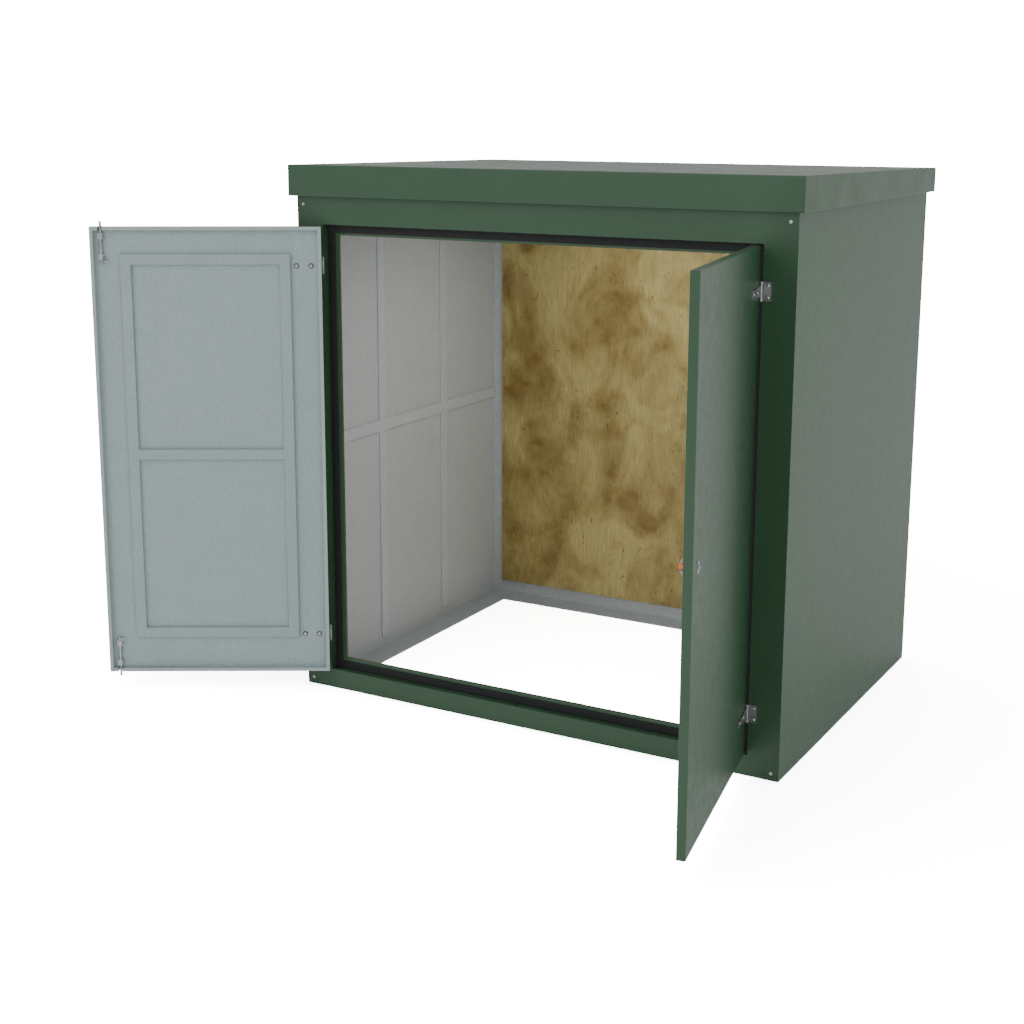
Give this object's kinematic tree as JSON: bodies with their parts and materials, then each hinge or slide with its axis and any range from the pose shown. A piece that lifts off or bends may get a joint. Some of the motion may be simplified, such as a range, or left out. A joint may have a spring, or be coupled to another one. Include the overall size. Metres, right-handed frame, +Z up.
{
  "type": "glass-fibre walk-in enclosure",
  "caption": "Box-shaped walk-in glass-fibre enclosure with an overhanging roof tray, open base, mounting board and a pair of hinged doors with seal, tower bolts and lock.",
  "frame": {"origin": "middle of the front sill's foot flange, on its underside where the enclosure stands on the ground", "axes": "+Z up; -Y out of the doorway; +X to the right as seen from in front"},
  "size_m": [2.6605, 2.4014, 2.072],
  "materials": {
    "green_gelcoat": "satin green gelcoat on glass fibre",
    "side_panel": "satin green gelcoat outside, pale flow coat inside",
    "inner_flowcoat": "pale grey flow coat over glass fibre",
    "foot_flowcoat": "pale blue-grey flow coat",
    "door_moulding": "pale grey-green flow coat inside, green gelcoat outside",
    "seal_rubber": "matt black foam rubber",
    "plywood": "varnished plywood, mottled golden brown",
    "hinge_steel": "satin stainless steel",
    "bolt_steel": "zinc-plated steel",
    "lock_metal": "satin chrome",
    "lock_case_grey": "grey powder coat",
    "release_orange": "orange plastic"
  },
  "bodies": {
    "shell": {"front_head": "green_gelcoat", "front_sill": "green_gelcoat", "front_left_jamb": "green_gelcoat", "front_right_jamb": "green_gelcoat", "door_seal": "seal_rubber", "left_wall": "side_panel", "right_wall": "side_panel", "back_wall": "side_panel", "left_wall_ribs": "inner_flowcoat", "right_wall_ribs": "inner_flowcoat", "left_foot_flange": "foot_flowcoat", "right_foot_flange": "foot_flowcoat", "back_foot_flange": "foot_flowcoat", "back_board": "plywood", "roof": "green_gelcoat", "left_upper_hinge_plate": "hinge_steel", "left_lower_hinge_plate": "hinge_steel", "right_upper_hinge_plate": "hinge_steel", "right_lower_hinge_plate": "hinge_steel"},
    "left_door": {"left_door_panel": "door_moulding", "left_door_ribs": "door_moulding", "left_upper_hinge_strap": "hinge_steel", "left_lower_hinge_strap": "hinge_steel", "top_bolt_guides": "bolt_steel", "bottom_bolt_guides": "bolt_steel"},
    "top_bolt": {"top_bolt": "bolt_steel"},
    "bottom_bolt": {"bottom_bolt": "bolt_steel"},
    "right_door": {"right_door_panel": "door_moulding", "right_door_ribs": "door_moulding", "right_upper_hinge_strap": "hinge_steel", "right_lower_hinge_strap": "hinge_steel", "lock_face_plate": "lock_metal", "lock_barrel": "lock_metal", "lock_case": "lock_case_grey"},
    "release_knob": {"release_knob": "release_orange"}
  },
  "joints": [
    {"name": "left_door_hinge", "type": "hinge", "parent": "shell", "child": "left_door", "pos_m": [-0.8805, -0.072, 0.963], "axis": [0, 0, -1], "range_deg": [-149.5, 20.5]},
    {"name": "right_door_hinge", "type": "hinge", "parent": "shell", "child": "right_door", "pos_m": [0.8805, -0.072, 0.963], "axis": [0, 0, 1], "range_deg": [-100, 70]},
    {"name": "top_bolt_slide", "type": "slide", "parent": "left_door", "child": "top_bolt", "axis": [0, 0, -1], "range_m": [0, 0.025]},
    {"name": "bottom_bolt_slide", "type": "slide", "parent": "left_door", "child": "bottom_bolt", "axis": [0, 0, 1], "range_m": [0, 0.025]},
    {"name": "release_knob_turn", "type": "hinge", "parent": "right_door", "child": "release_knob", "pos_m": [0.97913, -0.88472, 0.978], "axis": [-0.9848, -0.1736, 0], "range_deg": [0, 90]}
  ]
}
